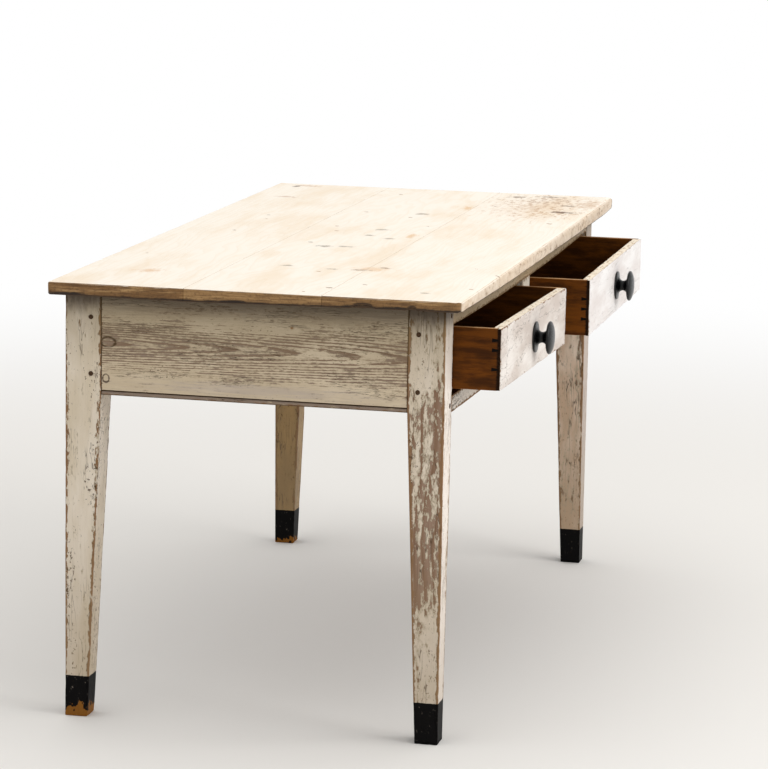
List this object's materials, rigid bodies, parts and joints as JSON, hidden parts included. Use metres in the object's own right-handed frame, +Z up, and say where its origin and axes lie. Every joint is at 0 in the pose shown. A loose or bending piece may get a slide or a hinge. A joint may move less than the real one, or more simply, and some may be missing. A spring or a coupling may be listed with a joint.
{
  "type": "kitchen table with drawers",
  "caption": "Oblong pine kitchen table with a plank top, four tapered square legs, deep end aprons and a row of drawers that slide out of one long side on turned knobs.",
  "frame": {"origin": "on the floor, under the centre of the tabletop's outline", "axes": "+X along the table's length towards its right-hand end as seen from the drawer side, -Y towards the drawer side, +Z up"},
  "size_m": [1.524, 0.824, 0.762],
  "materials": {
    "scrubbed_pine": "bare pine, scrubbed pale",
    "painted_pine": "old off-white paint, worn through at the edges",
    "bare_pine": "unfinished pine, darkened with age",
    "ebonised_wood": "turned, stained black, satin",
    "peg_wood": "riven oak, end grain",
    "iron_fixings": "oxidised"
  },
  "bodies": {
    "frame": {"apron_pegs": "peg_wood", "back_apron": "painted_pine", "bottom_rail": "painted_pine", "drawer_divider": "painted_pine", "drawer_stops": "bare_pine", "end_apron_left": "painted_pine", "end_apron_right": "painted_pine", "fixing_blocks": "bare_pine", "guide_left_inner": "bare_pine", "guide_left_outer": "bare_pine", "guide_nails": "iron_fixings", "guide_right_inner": "bare_pine", "guide_right_outer": "bare_pine", "kicker_left": "bare_pine", "kicker_middle": "bare_pine", "kicker_right": "bare_pine", "leg_back_left": "painted_pine", "leg_back_right": "painted_pine", "leg_front_left": "painted_pine", "leg_front_right": "painted_pine", "rail_pegs": "peg_wood", "runner_left_inner": "bare_pine", "runner_left_outer": "bare_pine", "runner_right_inner": "bare_pine", "runner_right_outer": "bare_pine", "top_board_back": "scrubbed_pine", "top_board_front": "scrubbed_pine", "top_board_middle": "scrubbed_pine", "top_rail": "painted_pine", "top_screws": "iron_fixings"},
    "left_drawer": {"left_drawer_back": "bare_pine", "left_drawer_bottom": "bare_pine", "left_drawer_front": "painted_pine", "left_drawer_knob": "ebonised_wood", "left_drawer_nails": "iron_fixings", "left_drawer_side_left": "bare_pine", "left_drawer_side_right": "bare_pine"},
    "right_drawer": {"right_drawer_back": "bare_pine", "right_drawer_bottom": "bare_pine", "right_drawer_front": "painted_pine", "right_drawer_knob": "ebonised_wood", "right_drawer_nails": "iron_fixings", "right_drawer_side_left": "bare_pine", "right_drawer_side_right": "bare_pine"}
  },
  "joints": [
    {"name": "left_drawer_slide", "type": "slide", "parent": "frame", "child": "left_drawer", "axis": [0, -1, 0], "range_m": [-0.081, 0.389]},
    {"name": "right_drawer_slide", "type": "slide", "parent": "frame", "child": "right_drawer", "axis": [0, -1, 0], "range_m": [-0.1135, 0.3565]}
  ]
}
